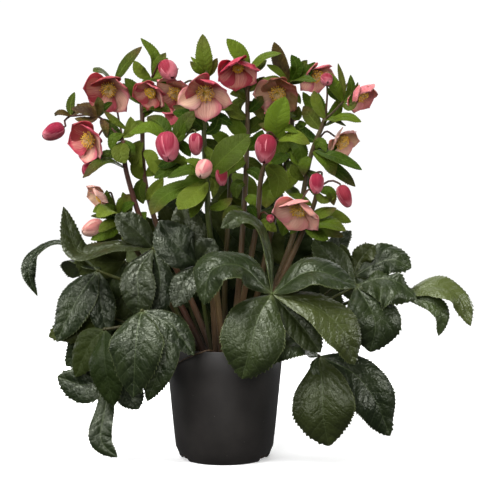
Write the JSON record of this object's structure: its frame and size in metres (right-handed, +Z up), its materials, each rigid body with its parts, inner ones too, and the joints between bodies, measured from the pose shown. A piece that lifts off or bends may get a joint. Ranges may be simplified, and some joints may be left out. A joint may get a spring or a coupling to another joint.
{
  "type": "potted hellebore plant",
  "caption": "Flowering hellebore with leathery divided leaves and nodding pink blooms on branched stalks, growing in a round tapered black plastic nursery pot.",
  "frame": {"origin": "centre of the pot's underside, on the ground", "axes": "+Z up the pot's axis, -Y towards the front of the plant, +X to the plant's right as seen from the front"},
  "size_m": [0.6761, 0.3242, 0.6295],
  "materials": {
    "pot_plastic": "black moulded plastic with a soft sheen and light scuffs",
    "potting_soil": "dark crumbly peat",
    "leaf": "leathery dark green, glossy above, with pale veins",
    "stalk": "green to reddish fleshy stalks with green bracts and pink buds",
    "sepal": "soft rose pink, paler peach inside, with darker veins",
    "stamen": "golden yellow, powdery"
  },
  "bodies": {
    "root": {"bloom_back_left": "sepal", "bloom_back_right": "sepal", "bloom_behind_centre": "sepal", "bloom_centre": "sepal", "bloom_far_left": "sepal", "bloom_far_right": "sepal", "bloom_left_pale": "sepal", "bloom_low_right": "sepal", "bloom_mid_right": "sepal", "bloom_olive": "sepal", "bloom_top_left": "sepal", "bloom_upper_centre": "sepal", "bloom_upper_left": "sepal", "bloom_upper_right": "sepal", "crown_back_left": "stamen", "crown_back_right": "stamen", "crown_behind_centre": "stamen", "crown_centre": "stamen", "crown_far_left": "stamen", "crown_far_right": "stamen", "crown_low_right": "stamen", "crown_mid_right": "stamen", "crown_olive": "stamen", "crown_top_left": "stamen", "crown_upper_right": "stamen", "leaf_back": "leaf", "leaf_back_left": "leaf", "leaf_back_right": "leaf", "leaf_far_left": "leaf", "leaf_far_right": "leaf", "leaf_front_left": "leaf", "leaf_front_right": "leaf", "leaf_left": "leaf", "leaf_low_front_left": "leaf", "leaf_low_left": "leaf", "leaf_low_right": "leaf", "leaf_mid_left": "leaf", "leaf_right": "leaf", "pot": "pot_plastic", "soil": "potting_soil", "stalk_back": "stalk", "stalk_centre": "stalk", "stalk_front": "stalk", "stalk_left": "stalk", "stalk_low_left": "stalk", "stalk_low_right": "stalk", "stalk_mid_left": "stalk", "stalk_mid_right": "stalk", "stalk_right": "stalk", "stalk_right_back": "stalk", "stalk_right_front": "stalk"}
  },
  "joints": []
}
